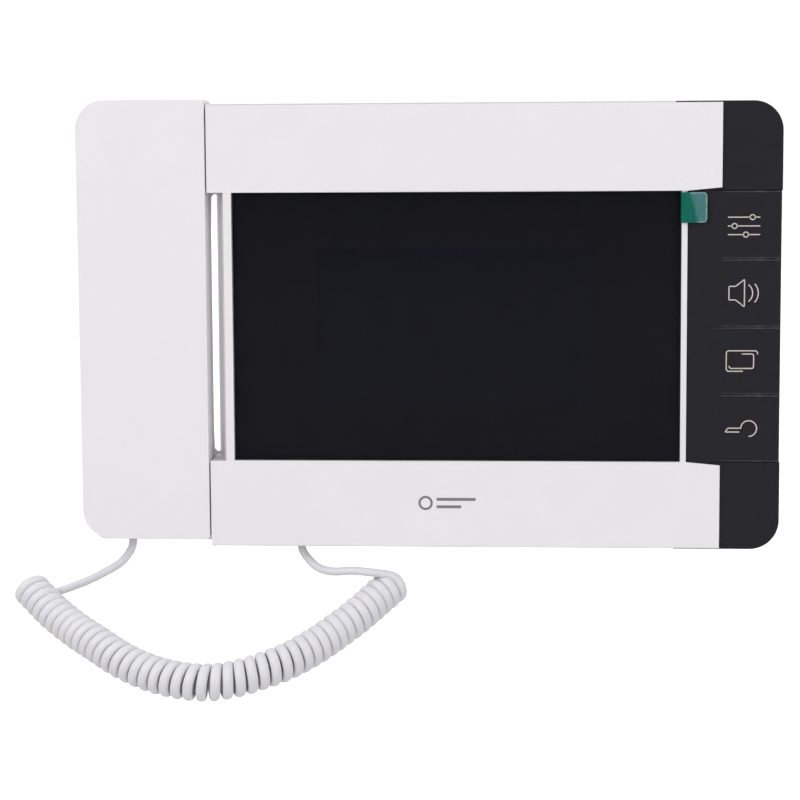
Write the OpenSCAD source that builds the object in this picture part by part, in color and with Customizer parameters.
// Video intercom monitor: a wall unit with a lift-off handset on a curly cord.
// Millimetres. X points right and Z up; the wall is the plane Y = 0 and the front faces -Y.
// A "depth" is always a distance out from the wall, towards the front.

/* [Wall unit] */
// Width of the wall unit, without the wing behind the handset
base_w = 196; // [194:1:200]
// Height of the white bands, end to end
base_h = 152; // [152:1:156]
// Depth of the face of the white bands
base_d = 21; // [20.5:0.5:23]
// Height of each white band
band_h = 29.7; // [28:0.1:30.5]
// Reach of the bands from the left edge of the wall unit
band_w = 175.6; // [174:0.1:178]
// Narrowing of each band at its right end
band_taper = 1.1; // [0:0.1:2]
// Radius of the outer corners
corner_r = 10; // [8:0.5:11]
// Wall thickness of the mouldings
wall = 2; // [1.6:0.1:2.2]
// Depth where the rear housing meets the front parts
split_d = 15; // [14.5:0.5:15.5]

/* [Screen] */
// Width of the dark window
glass_w = 153.4; // [150:0.1:154]
// Thickness of the dark window
glass_t = 1.5; // [1:0.1:1.5]
// Width of the LCD module
lcd_w = 105.5; // [100:0.5:106]
// Height of the LCD module
lcd_h = 67.2; // [64:0.1:68]

/* [Keys] */
// Distance from one key to the next
key_pitch = 23.15; // [22.5:0.05:23.2]
// Slit between two keys
key_gap = 0.35; // [0.3:0.05:0.6]
// Thickness of a key's face
key_t = 1.5; // [1.2:0.1:1.8]

/* [Handset] */
// Width of the handset
handset_w = 44.6; // [42:0.1:44.6]
// Height of the handset
handset_h = 152; // [150:1:152]
// How much higher than the wall unit the handset sits
handset_rise = 2.1; // [1:0.1:3]
// Thickness of the handset at its ends
handset_t = 14.7; // [14.5:0.1:14.8]
// Thickness of the handset at its grip
grip_t = 13.2; // [12.5:0.1:13.6]

/* [Wall bracket] */
// Spacing of the wall screws across
screw_x = 46; // [40:1:50]
// Spacing of the wall screws up and down
screw_z = 83.5; // [80:0.5:86]
// Radius of the wall screw holes
screw_r = 2.3; // [2:0.1:2.5]

/* [Cord] */
// Thickness of the cord along its narrow side
cord_t = 2.9; // [2.6:0.1:3]
// Outer diameter of the coiled stretch
coil_d = 13; // [12:0.1:13.2]

/* [Hidden] */

$fn = 48;
over = 1;       // how far a cut runs past the face that it opens
fit = 0.1;      // gap between neighbouring fixed pieces

// Plan of the wall unit
right = base_w / 2;
left = -right;
band_top = base_h / 2;
band_in = band_top - band_h;            // inner edge of each band
skirt_top = band_top + 0.5;             // the case stands half a millimetre proud of the bands
band_tip = left + band_w;
taper_start = band_tip - 11.8;
glass_left = left + 8.6;
glass_right = glass_left + glass_w;
strip_right = glass_right + 2.1;        // white strip between the window and the black end
cover_left = glass_right - 2;           // the black end starts here, under the bands
gap_left = left + 5.7;                  // front edge of the finger gap's sloping wall
gap_back = left + 0.7;                  // back edge of that wall
slit_z = band_in - 0.7;                 // ends of the slit at the bottom of the gap
slit_r = 0.8;
key_left = right - 23.7;
key_right = right - 0.4;

// Depths of the front parts
face_d = base_d - 1.2;                  // face of the black end, the keys and the window
plate_d = base_d - wall;                // back of the band plates
glass_back = face_d - glass_t;
tape_t = 0.3;
ledge_d = glass_back - tape_t;          // front of the ledge that carries the window
ledge_t = 1.8;
tip_t = 1.1;                            // thickness of the band tips over the black end
arm_wall_d = 5;                         // rim of the wing behind the handset
cradle_d = 6.5;                         // face of the cradle
arm_left = left - 44;
arm_floor = 1.5;

// Bracket recess in the back of the rear housing
recess_x = 43;
recess_z = 53;
recess_d = 2.8;
raised_d = 4.6;
window = 21;                            // half width of the wiring window
hook_x = 36;
hooks_z = [-30, 18];

// Circuit boards
board_back = 12;
board_t = 1.6;
board_front = board_back + board_t;
board_x = [-64, 58];
board_z = [-40, 40];
board_bosses = [for (x = [-58, 52], z = [-36, 36]) [x, z]];
key_board_back = 9.6;
key_board_front = key_board_back + board_t;
key_board_x = [68, 95];
key_board_z = [-47, 47];
key_bosses = [for (x = [73, 91], z = [-41, 41]) [x, z]];
lcd_x = (glass_left + glass_right) / 2;
lcd_front = ledge_d + 0.2;
lcd_mid = lcd_front - 1.4;
lcd_back = lcd_front - 3;

// Screws through the back: seat depth, post length
frame_posts = [[-88, 67], [25, 67], [-88, -60], [25, -67]];
cover_posts = [[85, 66], [85, -66]];
housing_posts = concat(frame_posts, cover_posts);
seat_d = 5;
boss_d = 8;
pilot_r = 1.3;
shank_r = 1.25;
head_r = 2.7;

// Keys
pivot_x = key_left + 1.1;
pivot_d = face_d - 2.5;
switch_x = key_left + 14;

// Loudspeaker
speaker_x = 62;
speaker_z = -58;
speaker_r = 15;

// Handset
hs_left = left - 45.1;
hs_right = hs_left + handset_w;
hs_top = band_top + handset_rise;
hs_bottom = hs_top - handset_h;
hs_front = base_d + 0.5;
hs_back = hs_front - handset_t;
hs_grip = hs_front - grip_t;
hs_split = hs_front - 7.5;
hs_wall = 2;
hs_screws = [[-134, 49], [-134, -49]];
hs_seat_d = hs_back + 4.7;
ear_x = (hs_left + hs_right) / 2;
ear_z = band_in + 15.1;
ear_r = 11.5;
ear_back = hs_back - 2.5;
cup_r = ear_r + 1;
mic_x = ear_x + 7.6;
mic_z = -ear_z + 1;
plunger_x = -103;

// Cord sockets: centre line of the plugs
cord_d = 13;
base_exit_x = -67.3;
handset_exit_x = -127;
plug_w = 7.6;
plug_d = 6.6;
plug_base_z = -75.6;
plug_handset_z = hs_bottom - 0.1;

// Route of the cord, X, Y and Z
handset_lead = [
    [-127, -13, -74.5], [-127.5, -13, -78], [-129.5, -13, -81.5], [-132.5, -12.5, -84.5],
    [-137.5, -11.5, -87.5], [-144, -9, -91], [-151, -7, -94], [-159, -6, -97]
];
coil_route = [
    [-165.5, -10, -93.5], [-155.5, -18, -100.5], [-146, -25, -105.5], [-137, -32, -109],
    [-127, -39, -113], [-117, -44, -116], [-107, -48, -117.5], [-97, -50, -118],
    [-87, -49, -117], [-77, -46, -114.5], [-69, -42, -112], [-61, -36, -108.5],
    [-54, -30, -104.5], [-47, -24, -100], [-41, -18, -95.5], [-35, -12, -91]
];
base_lead = [
    [-67.3, -13, -75.6], [-67, -13, -79], [-64.5, -13.5, -82.5], [-61, -15, -85],
    [-56, -16, -86], [-49, -17, -85.5], [-42, -17.5, -86], [-39, -17, -86.5]
];

// ---------- helpers ----------

// Turns an outline drawn in X and Z into a plate between two depths
module slab(back, front) {
    translate([0, -back, 0])
        rotate([90, 0, 0])
            linear_extrude(front - back)
                children();
}

// Box between two X, two Z and two depths
module block(x, z, d) {
    translate([x[0], -d[1], z[0]])
        cube([x[1] - x[0], d[1] - d[0], z[1] - z[0]]);
}

// Round bar standing on the wall side, between two depths
module post(x, z, r, d) {
    translate([x, -d[0], z])
        rotate([90, 0, 0])
            cylinder(r = r, h = d[1] - d[0]);
}

// Rectangle in X and Z with its own radius at each end
module plate(x, z, r_left, r_right) {
    side = [[x[0], r_left, 1], [x[1], r_right, -1]];
    union() {
        translate([x[0] + r_left, z[0]])
            square([x[1] - x[0] - r_left - r_right, z[1] - z[0]]);
        for (s = side) {
            low = s[2] > 0 ? s[0] : s[0] - s[1];
            translate([low, z[0] + s[1]])
                square([s[1], z[1] - z[0] - 2 * s[1]]);
            for (end = [z[0] + s[1], z[1] - s[1]])
                translate([s[0] + s[2] * s[1], end])
                    circle(r = s[1]);
        }
    }
}

// Case outline, drawn in by the given amount
module case_outline(inset) {
    plate([left + inset, right - inset], [-skirt_top + inset, skirt_top - inset],
        0.5, corner_r - inset);
}

// Outline of one arm of the wing behind the handset
module arm_outline(inset) {
    plate([arm_left + inset, left + 3], [band_in + inset, skirt_top - inset], 4 - inset, 0.5);
}

// Draws its children as they stand and once more upside down
module both_ends() {
    children();
    mirror([0, 0, 1])
        children();
}

// Countersunk self-tapping screw driven from the back: head and shank
module screw(x, z, seat, length) {
    difference() {
        union() {
            post(x, z, head_r, [seat - 1.8, seat]);
            post(x, z, shank_r, [seat - 0.2, seat + length]);
        }
        block([x - 1.7, x + 1.7], [z - 0.3, z + 0.3], [seat - 2.4, seat - 1]);
        block([x - 0.3, x + 0.3], [z - 1.7, z + 1.7], [seat - 2.4, seat - 1]);
    }
}

// Screw driven from the front
module front_screw(x, z, seat, length) {
    difference() {
        union() {
            post(x, z, head_r - 0.1, [seat, seat + 1.4]);
            post(x, z, shank_r, [seat - length, seat + 0.2]);
        }
        block([x - 1.6, x + 1.6], [z - 0.3, z + 0.3], [seat + 0.8, seat + 2]);
        block([x - 0.3, x + 0.3], [z - 1.6, z + 1.6], [seat + 0.8, seat + 2]);
    }
}

// Post with a pilot hole that takes a screw from the back
module screw_post(x, z, r, d) {
    difference() {
        post(x, z, r, d);
        post(x, z, pilot_r, [d[0] - over, d[0] + 8]);
    }
}

// Post on the floor of the rear housing that takes a board's screw from the front
module board_post(x, z, top) {
    difference() {
        post(x, z, 3, [wall - 0.5, top]);
        post(x, z, pilot_r, [top - 7, top + over]);
    }
}

// Hole in the case for a cord plug, from below
module plug_hole(x, low, high) {
    block([x - plug_w / 2 - 0.9, x + plug_w / 2 + 0.9], [low, high],
        [cord_d - plug_d / 2 - 0.9, cord_d + plug_d / 2 + 0.9]);
}

// Moulded socket for a cord plug
module jack(x, low, high) {
    difference() {
        block([x - 6, x + 6], [low, high], [cord_d - 4.1, cord_d + 5.4]);
        block([x - plug_w / 2 - 0.3, x + plug_w / 2 + 0.3], [low - over, low + 10.8],
            [cord_d - plug_d / 2 - 0.3, cord_d + plug_d / 2 + 0.3]);
    }
}

// Modular plug: a clear body with a latch and contact slots
module plug(x, low) {
    contacts = 4;
    contact_pitch = 1.27;
    difference() {
        block([x - plug_w / 2, x + plug_w / 2], [low, low + 11],
            [cord_d - plug_d / 2, cord_d + plug_d / 2 - 1.6]);
        for (i = [0 : contacts - 1])
            translate([(i - (contacts - 1) / 2) * contact_pitch, 0, 0])
                block([x - 0.25, x + 0.25], [low + 8, low + 11 + over],
                    [cord_d - plug_d / 2 - over, cord_d - plug_d / 2 + 1.2]);
    }
    block([x - 1.6, x + 1.6], [low + 2, low + 11],
        [cord_d + plug_d / 2 - 1.7, cord_d + plug_d / 2 - 0.2]);
}

// ---------- swept tubes ----------

function unit(v) = v / norm(v);
function along(p, i) =
    unit(p[min(i + 1, len(p) - 1)] - p[max(i - 1, 0)]);
function ring(p, i, side, r, n) =
    let (t = along(p, i), u = unit(cross(t, side)), v = cross(t, u))
    [for (k = [0 : n - 1]) p[i] + r * (cos(360 * k / n) * u + sin(360 * k / n) * v)];

// Tube through the points; side is a direction that the route never follows
module tube(p, r, n, side) {
    rings = len(p);
    points = [for (i = [0 : rings - 1]) each ring(p, i, side, r, n)];
    sides = [for (i = [0 : rings - 2], k = [0 : n - 1])
        let (a = i * n + k, b = i * n + (k + 1) % n)
        [a, b, b + n, a + n]];
    start = [for (k = [0 : n - 1]) n - 1 - k];
    end = [for (k = [0 : n - 1]) (rings - 1) * n + k];
    polyhedron(points, concat([start], sides, [end]), convexity = 8);
}

// ---------- mounting and case ----------

module wall_bracket() {
    plate_t = 1.2;
    half_x = recess_x - 1;
    half_z = recess_z - 1;
    color("silver")
    union() {
        difference() {
            slab(0, plate_t)
                plate([-half_x, half_x], [-half_z, half_z], 3, 3);
            block([-window, window], [-window, window], [-over, plate_t + over]);
            for (x = [-screw_x, screw_x] / 2, z = [-screw_z, screw_z] / 2)
                post(x, z, screw_r, [-over, plate_t + over]);
        }
        for (x = [-hook_x, hook_x], z = hooks_z) {
            block([x - 2, x + 2], [z, z + plate_t], [0, raised_d + 1.4]);
            block([x - 2, x + 2], [z, z + 4.2], [raised_d + 0.3, raised_d + 1.4]);
        }
    }
}

// One screw boss in the rear housing, with its counterbore
module rear_boss(x, z) {
    difference() {
        post(x, z, 4.2, [0.5, boss_d - fit]);
        post(x, z, head_r + 0.4, [-over, seat_d]);
        post(x, z, pilot_r + 0.2, [-over, boss_d + over]);
    }
}

// Tray of the rear housing with its two arms, open to the front
module rear_shell() {
    difference() {
        union() {
            slab(0, split_d)
                case_outline(0);
            both_ends()
                slab(0, arm_wall_d)
                    arm_outline(0);
            // lip that rounds off the end of the slit
            both_ends()
                block([left - 6, left + over], [slit_z - slit_r, band_in + over], [0, arm_floor]);
        }
        slab(wall, split_d + over)
            case_outline(wall);
        both_ends()
            slab(arm_floor, arm_wall_d + over)
                arm_outline(1.6);
        // the front frame closes the left side of the wall unit
        block([left - over, left + 1.7], [-band_top - 4, band_top + 4], [arm_wall_d, split_d + over]);
        block([left - over, left + wall + over], [-band_in - 1.7, band_in + 1.7], [wall, split_d + over]);
        slab(-over, split_d)
            plate([left - 1, gap_back], [-slit_z, slit_z], slit_r, slit_r, $fn = 16);
    }
    block([-recess_x - 2, recess_x + 2], [-recess_z - 2, recess_z + 2], [0, raised_d]);
}

// Cooling slots above the bracket, and the loudspeaker's grille
module back_holes() {
    slots = 9;
    slot_pitch = 5;
    slots_x = -30;
    grille = [[0, 1], [5, 6], [10, 12]];    // radius of each ring and its number of holes
    for (i = [0 : slots - 1])
        translate([slots_x + (i - (slots - 1) / 2) * slot_pitch, 0, 0])
            block([-1, 1], [60, 70], [-over, wall + over]);
    for (g = grille, k = [0 : g[1] - 1])
        post(speaker_x + g[0] * cos(360 * k / g[1]), speaker_z + g[0] * sin(360 * k / g[1]),
            1.1, [-over, wall + over], $fn = 24);
}

module rear_housing() {
    color("whitesmoke")
    union() {
        difference() {
            rear_shell();
            block([-recess_x, recess_x], [-recess_z, recess_z], [-over, recess_d]);
            block([-window, window], [-window, window], [-over, raised_d + over]);
            for (x = [-hook_x, hook_x], z = hooks_z)
                block([x - 2.5, x + 2.5], [z - 0.5, z + 8], [recess_d - over, raised_d + over]);
            for (p = housing_posts)
                post(p[0], p[1], head_r + 0.4, [-over, wall + over]);
            plug_hole(base_exit_x, -skirt_top - over, -skirt_top + wall + over);
            back_holes();
        }
        for (p = housing_posts)
            rear_boss(p[0], p[1]);
        for (p = board_bosses)
            board_post(p[0], p[1], board_back);
        for (p = key_bosses)
            board_post(p[0], p[1], key_board_back);
        difference() {
            post(speaker_x, speaker_z, speaker_r + 1.6, [wall - 0.5, 5]);
            post(speaker_x, speaker_z, speaker_r + 0.4, [wall - over, 5 + over]);
        }
    }
}

module housing_screws() {
    color("dimgray")
    for (p = housing_posts)
        screw(p[0], p[1], seat_d, 9);
}

// ---------- white front frame ----------

// Outline of the upper band, with its narrowing right end
module band_outline(start, end) {
    intersection() {
        polygon([
            [left, band_in], [taper_start, band_in], [band_tip, band_in + band_taper],
            [band_tip, band_top], [left, band_top]
        ]);
        translate([start, 0])
            square([end - start, band_top + over]);
    }
}

module upper_band() {
    slab(plate_d, base_d)
        band_outline(left, cover_left - fit);
    slab(base_d - tip_t, base_d)
        band_outline(cover_left - 2, band_tip);
    // top skirt
    block([left, cover_left - fit], [skirt_top - wall, skirt_top], [split_d, plate_d]);
    // step down to the cradle
    block([left, left + 1.6], [band_in, skirt_top], [arm_wall_d, plate_d + 0.5]);
    // wall along the inner edge of the band
    block([left, gap_left + 3], [band_in, band_in + 1.6], [wall, plate_d + 0.5]);
    block([gap_left, strip_right], [band_in, band_in + 1.6], [ledge_d - ledge_t, plate_d + 0.5]);
}

// Cradle arm, with the round cup that keeps the handset from sliding
module cradle_arm() {
    difference() {
        union() {
            slab(arm_wall_d, cradle_d)
                difference() {
                    arm_outline(0);
                    translate([left + 1, band_in - over])
                        square([10, 40]);
                }
            post(ear_x, ear_z, cup_r + 0.9, [2.2, cradle_d]);
        }
        post(ear_x, ear_z, cup_r, [3.6, cradle_d + over]);
    }
}

module front_frame() {
    slope = [
        [gap_left, -base_d], [gap_back, -wall], [gap_back + 1.6, -wall],
        [gap_left + 1.1, -(ledge_d - ledge_t)], [glass_left - 0.2, -(ledge_d - ledge_t)],
        [glass_left - 0.2, -base_d]
    ];
    strip = [
        [glass_right + 0.1, -(base_d - 0.3)], [strip_right, -(base_d - 0.9)],
        [strip_right, -(ledge_d - ledge_t)], [glass_right + 0.1, -(ledge_d - ledge_t)]
    ];
    color("white")
    union() {
        difference() {
            union() {
                both_ends()
                    upper_band();
                both_ends()
                    cradle_arm();
            }
            // window for the hook plunger
            block([plunger_x - 2.3, plunger_x + 2.3], [ear_z - 2.3, ear_z + 2.3],
                [arm_wall_d - over, cradle_d + over]);
            plug_hole(base_exit_x, -skirt_top - over, -skirt_top + wall + over);
        }
        for (side = [slope, strip])
            translate([0, 0, -band_in - 0.5])
                linear_extrude(2 * band_in + 1)
                    polygon(side);
        // ledge behind the window, open for the LCD module
        difference() {
            block([gap_left + 1.1, strip_right - 0.1], [-band_in - 0.5, band_in + 0.5],
                [ledge_d - ledge_t, ledge_d]);
            block([lcd_x - lcd_w / 2 - 0.6, lcd_x + lcd_w / 2 + 0.6],
                [-lcd_h / 2 - 0.6, lcd_h / 2 + 0.6], [ledge_d - ledge_t - over, ledge_d + over]);
        }
        for (p = frame_posts)
            screw_post(p[0], p[1], 3.2, [boss_d, plate_d + 0.5]);
    }
}

// ---------- black end cover and keys ----------

module end_cover() {
    rim_d = face_d - 2.8;       // the right wall stays clear of a pressed key
    cover_back = face_d - wall;
    color([0.13, 0.13, 0.15])
    union() {
        difference() {
            slab(split_d, face_d)
                intersection() {
                    case_outline(0);
                    translate([cover_left, -skirt_top])
                        square([base_w, 2 * skirt_top]);
                }
            slab(split_d - over, cover_back)
                case_outline(wall);
            // the window and its strip fill the middle
            block([cover_left - over, strip_right + 0.2], [-band_in - 1.7, band_in + 1.7],
                [split_d - over, face_d + over]);
            // opening for the keys
            block([key_left - 0.3, right + over], [-2 * key_pitch - 0.1, 2 * key_pitch + 0.1],
                [rim_d, face_d + over]);
        }
        for (p = cover_posts)
            screw_post(p[0], p[1], 3.2, [boss_d, cover_back + 0.5]);
    }
}

// One key: face, hinge bead at its left edge and the stem over its switch
module key(middle) {
    half = key_pitch / 2 - key_gap / 2;
    color([0.15, 0.15, 0.17])
    union() {
        block([key_left, key_right], [middle - half, middle + half], [face_d - key_t, face_d]);
        block([pivot_x - 0.5, pivot_x + 0.5], [middle - half + 1, middle + half - 1],
            [pivot_d, face_d - key_t + 0.5]);
        translate([pivot_x, -pivot_d, middle - half + 1])
            cylinder(r = 0.8, h = 2 * half - 2);
        post(switch_x, middle, 1.5, [face_d - 3.4, face_d - key_t + 0.5]);
        block([switch_x - 5, switch_x + 7], [middle - 0.5, middle + 0.5],
            [face_d - 2.6, face_d - key_t + 0.5]);
    }
}

// Moulded strip whose trough carries the keys' hinge beads
module key_frame() {
    strip_back = key_board_front + 3.4;
    strip_front = pivot_d - 1;
    reach = 2 * key_pitch - 1;
    color([0.2, 0.2, 0.22])
    union() {
        block([pivot_x - 4, pivot_x + 2.6], [-reach, reach], [strip_back, strip_front]);
        for (x = [pivot_x - 4, pivot_x + 1.4])
            block([x, x + 1.2], [-reach, reach], [strip_front - 0.5, strip_front + 0.5]);
        for (z = [-reach, -0.6, reach - 1.2])
            block([pivot_x - 3, pivot_x + 1], [z, z + 1.2], [key_board_front, strip_back + 0.5]);
    }
}

module key_board() {
    color("darkgreen")
    difference() {
        block(key_board_x, key_board_z, [key_board_back, key_board_front]);
        for (p = key_bosses)
            post(p[0], p[1], 1.7, [key_board_back - over, key_board_front + over]);
    }
}

module key_switches() {
    body_h = 3.4;
    color("black")
    for (i = [-1.5 : 1.5]) {
        block([switch_x - 3, switch_x + 3], [i * key_pitch - 3, i * key_pitch + 3],
            [key_board_front, key_board_front + body_h]);
        post(switch_x, i * key_pitch, 1.7,
            [key_board_front + body_h - 0.5, key_board_front + body_h + 1]);
    }
}

// Flat cable from the main board to the key board, with a step between the two
module key_ribbon() {
    ribbon_t = 0.5;
    step_x = key_board_x[0] - 4;
    half_w = 9;
    color("lightgray")
    union() {
        block([board_x[1] - 4, step_x], [-half_w, half_w], [board_front, board_front + ribbon_t]);
        block([step_x - ribbon_t, step_x], [-half_w, half_w], [key_board_front, board_front + ribbon_t]);
        block([step_x - ribbon_t, key_board_x[0] + 3], [-half_w, half_w],
            [key_board_front, key_board_front + ribbon_t]);
    }
}

// ---------- screen ----------

module screen_glass() {
    color([0.09, 0.09, 0.11])
    block([glass_left, glass_right], [-band_in + fit, band_in - fit], [glass_back, face_d]);
}

module glass_tape() {
    tape_w = 5;
    color("dimgray")
    difference() {
        block([glass_left, glass_right], [-band_in + fit, band_in - fit], [ledge_d, glass_back]);
        block([glass_left + tape_w, glass_right - tape_w],
            [-band_in + tape_w, band_in - tape_w], [ledge_d - over, glass_back + over]);
    }
}

module screen_film() {
    film_t = 0.15;
    color([0.5, 0.6, 0.6, 0.4])
    block([glass_left + 0.4, glass_right - 0.4], [-band_in + 0.4, band_in - 0.4],
        [face_d, face_d + film_t]);
}

module film_tab() {
    film_face = face_d + 0.15;
    over_strip = base_d - 0.15;
    tab_t = 0.2;
    low = 35.5;
    high = band_in - 0.5;
    tab_end = glass_right + 8.6;
    profile = [
        [glass_right - 3, -film_face], [glass_right - 1, -film_face],
        [glass_right - 0.2, -over_strip], [tab_end, -over_strip],
        [tab_end, -over_strip - tab_t], [glass_right - 0.4, -over_strip - tab_t],
        [glass_right - 1.2, -film_face - tab_t], [glass_right - 3, -film_face - tab_t]
    ];
    color([0.06, 0.5, 0.36])
    intersection() {
        translate([0, 0, low])
            linear_extrude(high - low)
                polygon(profile);
        slab(face_d, base_d + 1)
            plate([glass_right - 3, tab_end], [low, high], 0.5, 2.5);
    }
}

module lcd_panel() {
    color([0.12, 0.12, 0.16])
    block([lcd_x - lcd_w / 2, lcd_x + lcd_w / 2], [-lcd_h / 2, lcd_h / 2], [lcd_mid, lcd_front]);
}

module lcd_backlight() {
    color("gainsboro")
    block([lcd_x - lcd_w / 2, lcd_x + lcd_w / 2], [-lcd_h / 2, lcd_h / 2], [lcd_back, lcd_mid - fit]);
}

module lcd_pads() {
    pad_h = 4;
    color("dimgray")
    for (z = [-30, 26])
        block([lcd_x - 40, lcd_x + 40], [z, z + pad_h], [board_front, lcd_back - fit]);
}

module lcd_ribbon() {
    ribbon_t = 0.25;
    edge = -lcd_h / 2;
    out = edge - 2.6;
    color("orange")
    union() {
        block([lcd_x - 8, lcd_x + 8], [out, edge - fit], [lcd_back + 0.4, lcd_back + 0.4 + ribbon_t]);
        block([lcd_x - 8, lcd_x + 8], [out, out + ribbon_t], [board_front, lcd_back + 0.4 + ribbon_t]);
        block([lcd_x - 8, lcd_x + 8], [out, out + 6], [board_front, board_front + ribbon_t]);
    }
}

// ---------- electronics ----------

module main_board() {
    color("darkgreen")
    difference() {
        block(board_x, board_z, [board_back, board_front]);
        for (p = board_bosses)
            post(p[0], p[1], 1.7, [board_back - over, board_front + over]);
    }
}

module board_chips() {
    // centre, width and height of each chip
    chips = [[-40, 2, 14, 14], [-10, 4, 9, 9], [14, -6, 7, 10], [34, 6, 10, 6], [-52, -16, 6, 8]];
    color([0.1, 0.1, 0.1])
    for (c = chips)
        block([c[0] - c[2] / 2, c[0] + c[2] / 2], [c[1] - c[3] / 2, c[1] + c[3] / 2],
            [board_front, board_front + 1.1]);
}

module board_capacitors() {
    // centre and radius of each can
    cans = [[-50, 22, 4], [-50, 10, 4], [-28, 30, 3.2], [28, 32, 3.2], [44, -24, 4]];
    color("midnightblue")
    for (p = cans)
        post(p[0], p[1], p[2], [board_back - 6, board_back]);
}

module board_transformer() {
    core_x = [-34, -22];
    core_z = [-34, -24];
    color("goldenrod")
    union() {
        block(core_x, core_z, [board_back - 6.5, board_back]);
        block([core_x[0] - 2, core_x[1] + 2], [core_z[0] + 2, core_z[1] - 2],
            [board_back - 5, board_back - 1.5]);
    }
}

module line_connector() {
    ways = 6;
    pitch = 5;
    half_h = 6;
    connector_back = 3.6;
    color("seagreen")
    difference() {
        block([-ways * pitch / 2, ways * pitch / 2], [-half_h, half_h], [connector_back, board_back]);
        // each way has a screw from the back and a wire entry on top
        for (i = [0 : ways - 1])
            translate([(i - (ways - 1) / 2) * pitch, 0, 0]) {
                post(0, -1.5, 1.7, [connector_back - over, 6]);
                block([-1.5, 1.5], [2, half_h + over], [5, 9]);
            }
    }
}

module board_screws() {
    color("silver") {
        for (p = board_bosses)
            front_screw(p[0], p[1], board_front, 7);
        for (p = key_bosses)
            front_screw(p[0], p[1], key_board_front, 7);
    }
}

module loudspeaker() {
    color("gray")
    translate([speaker_x, -wall - fit, speaker_z])
        rotate([90, 0, 0])
            rotate_extrude($fn = 64)
                polygon([[0, 0.8], [10, 0], [speaker_r, 0], [speaker_r, 1.2], [13, 1.6],
                    [9, 5], [9, 8], [0, 8]]);
}

// ---------- hook switch ----------

module hook_plunger() {
    color("white")
    union() {
        block([plunger_x - 2, plunger_x + 2], [ear_z - 2, ear_z + 2], [2.3, hs_back - 0.1]);
        block([plunger_x - 3, plunger_x + 3], [ear_z - 3, ear_z + 3], [2.3, 2.9]);
    }
}

module hook_leaf() {
    color("goldenrod")
    block([plunger_x - 2.5, plunger_x + 7], [ear_z - 1.5, ear_z + 1.5], [1.8, 2.1]);
}

module hook_switch() {
    color("dimgray")
    block([plunger_x + 4.2, plunger_x + 10.5], [ear_z - 3, ear_z + 3], [2.1, 4.8]);
}

// ---------- cord sockets ----------

module base_jack() {
    color([0.2, 0.2, 0.2])
    jack(base_exit_x, -skirt_top + wall + fit, -60);
}

module base_plug() {
    color([0.85, 0.87, 0.9])
    plug(base_exit_x, plug_base_z);
}

module handset_jack() {
    color([0.2, 0.2, 0.2])
    jack(handset_exit_x, hs_bottom + hs_wall + 1, hs_bottom + 17);
}

module handset_plug() {
    color([0.85, 0.87, 0.9])
    plug(handset_exit_x, plug_handset_z);
}

// ---------- handset ----------

module handset_outline(inset) {
    plate([hs_left + inset, hs_right - inset], [hs_bottom + inset, hs_top - inset],
        corner_r - inset, max(1.2 - inset, 0.2));
}

module handset_cover() {
    color("white")
    union() {
        difference() {
            slab(hs_split, hs_front)
                handset_outline(0);
            slab(hs_split - over, hs_front - hs_wall)
                handset_outline(hs_wall);
            plug_hole(handset_exit_x, hs_bottom - over, hs_bottom + hs_wall + over);
        }
        for (p = hs_screws)
            screw_post(p[0], p[1], 3, [hs_split, hs_front - hs_wall + 0.5]);
    }
}

// Side view of the handset's back: thick ends, a thinner grip between smooth shoulders
function shoulder(t) = (1 - cos(180 * t)) / 2;
function back_line(end_z, grip_z, deep, grip) =
    [for (i = [0 : 8]) [-(deep + (grip - deep) * shoulder(i / 8)), end_z + (grip_z - end_z) * i / 8]];

module back_profile(inset) {
    deep = hs_back + inset;
    grip = hs_grip + inset;
    upper = back_line(46 + inset, 34 + inset, deep, grip);
    lower = back_line(-46 - inset, -34 - inset, deep, grip);
    top = hs_top - inset;
    bottom = hs_bottom + inset;
    outline = concat(
        [[-hs_split - over, top], [-deep - 1.5, top], [-deep, top - 1.5]],
        upper,
        [for (i = [8 : -1 : 0]) lower[i]],
        [[-deep, bottom + 1.5], [-deep - 1.5, bottom], [-hs_split - over, bottom]]
    );
    translate([hs_left - over, 0, 0])
        rotate([90, 0, 90])
            linear_extrude(handset_w + 2 * over)
                polygon(outline);
}

// Back shell of the handset before its holes are made
module back_shell(shell) {
    difference() {
        intersection() {
            slab(hs_back - over, hs_split - fit)
                handset_outline(0);
            back_profile(0);
        }
        intersection() {
            slab(hs_back - over, hs_split + over)
                handset_outline(shell);
            back_profile(shell);
        }
    }
    // rims that sit in the cradle cups
    for (z = [ear_z, -ear_z])
        post(ear_x, z, ear_r, [ear_back, hs_back + 0.5]);
    for (p = hs_screws)
        post(p[0], p[1], 3.8, [hs_back, hs_split - fit]);
}

module handset_back() {
    shell = 1.6;
    hole_ring = 4.5;
    color("whitesmoke")
    difference() {
        back_shell(shell);
        for (z = [ear_z, -ear_z])
            post(ear_x, z, ear_r - 2, [ear_back - over, hs_back]);
        // listening holes and the speaking hole
        post(ear_x, ear_z, 1, [hs_back - over, hs_back + shell + over]);
        for (k = [0 : 5])
            post(ear_x + hole_ring * cos(60 * k), ear_z + hole_ring * sin(60 * k), 1,
                [hs_back - over, hs_back + shell + over]);
        post(mic_x, mic_z, 0.9, [ear_back - over, hs_back + shell + over]);
        for (p = hs_screws) {
            post(p[0], p[1], head_r + 0.3, [hs_back - over, hs_seat_d]);
            post(p[0], p[1], pilot_r + 0.1, [hs_back, hs_split + over]);
        }
        plug_hole(handset_exit_x, hs_bottom - over, hs_bottom + shell + over);
    }
}

module handset_screws() {
    color("dimgray")
    for (p = hs_screws)
        screw(p[0], p[1], hs_seat_d, 6.5);
}

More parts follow.
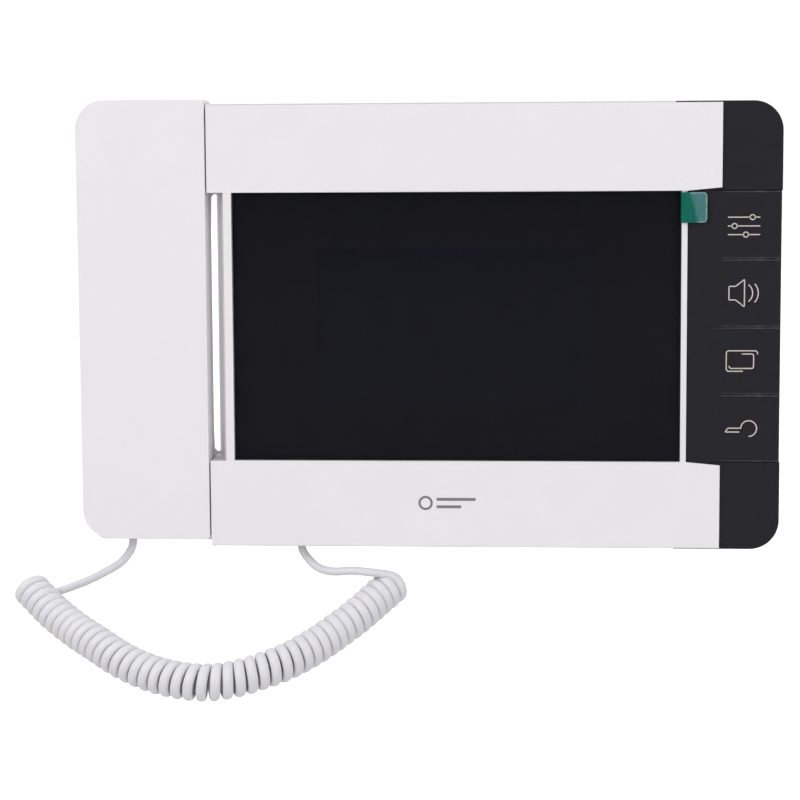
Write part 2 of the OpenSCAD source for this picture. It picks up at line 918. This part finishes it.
module earpiece_gasket() {
    color([0.25, 0.25, 0.25])
    difference() {
        post(ear_x, ear_z, 10, [hs_back + 1.6, hs_back + 2.4]);
        post(ear_x, ear_z, 7.5, [hs_back, hs_back + 4]);
    }
}

module earpiece() {
    color("silver")
    union() {
        post(ear_x, ear_z, 10, [hs_back + 2.4, hs_back + 4.8]);
        post(ear_x, ear_z, 8, [hs_back + 4.5, hs_back + 7.2]);
    }
}

module microphone_boot() {
    color([0.1, 0.1, 0.1])
    difference() {
        post(mic_x, mic_z, 6, [hs_back + 1.6, hs_back + 8]);
        post(mic_x, mic_z, 4.9, [hs_back + 2.4, hs_back + 9]);
        post(mic_x, mic_z, 1.2, [hs_back, hs_back + 3]);
    }
}

module microphone() {
    color("silver")
    post(mic_x, mic_z, 4.85, [hs_back + 2.5, hs_back + 8.6]);
}

module handset_weight() {
    half_w = 10;
    half_h = 15;
    color("slategray")
    block([ear_x - half_w, ear_x + half_w], [-half_h, half_h],
        [hs_grip + 1.8, hs_front - hs_wall - 0.2]);
}

// ---------- cord ----------

module cord_handset_lead() {
    color("white")
    tube(handset_lead, cord_t / 2 + 0.2, 8, [0, 1, 0]);
}

module cord_coil() {
    color("white")
    tube(coil_route, coil_d / 2, 12, [0, 0, 1]);
}

module cord_base_lead() {
    color("white")
    tube(base_lead, cord_t / 2 + 0.2, 8, [0, 1, 0]);
}

wall_bracket();
rear_housing();
housing_screws();
front_frame();
end_cover();
key(1.5 * key_pitch);  // key_settings
key(0.5 * key_pitch);  // key_speaker
key(-0.5 * key_pitch);  // key_monitor
key(-1.5 * key_pitch);  // key_unlock
key_frame();
key_board();
key_switches();
key_ribbon();
screen_glass();
glass_tape();
screen_film();
film_tab();
lcd_panel();
lcd_backlight();
lcd_pads();
lcd_ribbon();
main_board();
board_chips();
board_capacitors();
board_transformer();
line_connector();
board_screws();
loudspeaker();
hook_plunger();
hook_leaf();
hook_switch();
base_jack();
base_plug();
handset_cover();
handset_back();
handset_screws();
earpiece();
earpiece_gasket();
microphone();
microphone_boot();
handset_weight();
handset_jack();
handset_plug();
cord_handset_lead();
cord_coil();
cord_base_lead();
